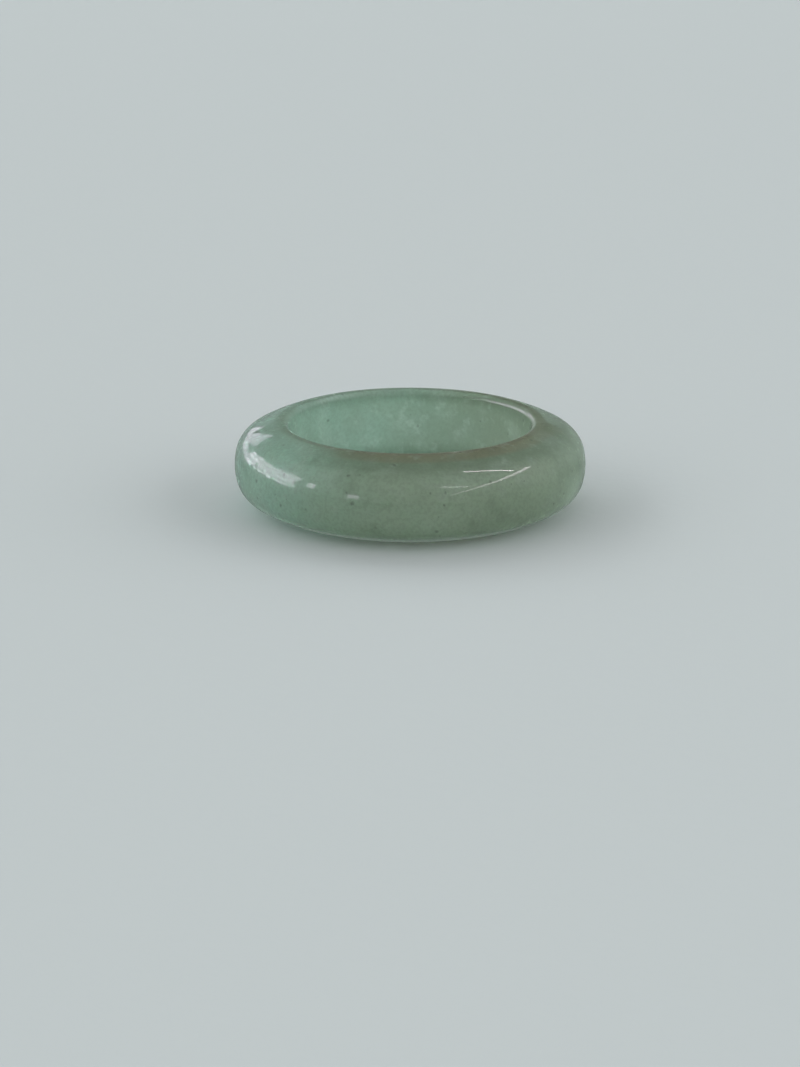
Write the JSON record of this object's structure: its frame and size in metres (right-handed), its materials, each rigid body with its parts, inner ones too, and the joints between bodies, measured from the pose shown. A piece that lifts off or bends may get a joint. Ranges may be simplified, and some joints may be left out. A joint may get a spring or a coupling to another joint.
{
  "type": "stackable ring",
  "caption": "Plain domed finger ring ground from one piece of polished stone, with a straight round bore and flat rims so that rings stack",
  "frame": {"origin": "centre of the lower rim's plane, which is what the ring rests on when it lies on its side; on the bore's axis", "axes": "+Z along the bore's axis, up from the lower rim to the upper rim; X and Y are any two radial directions"},
  "size_m": [0.025, 0.025, 0.0062],
  "materials": {
    "green_stone": "polished"
  },
  "bodies": {
    "root": {"ring_band": "green_stone"}
  },
  "joints": []
}
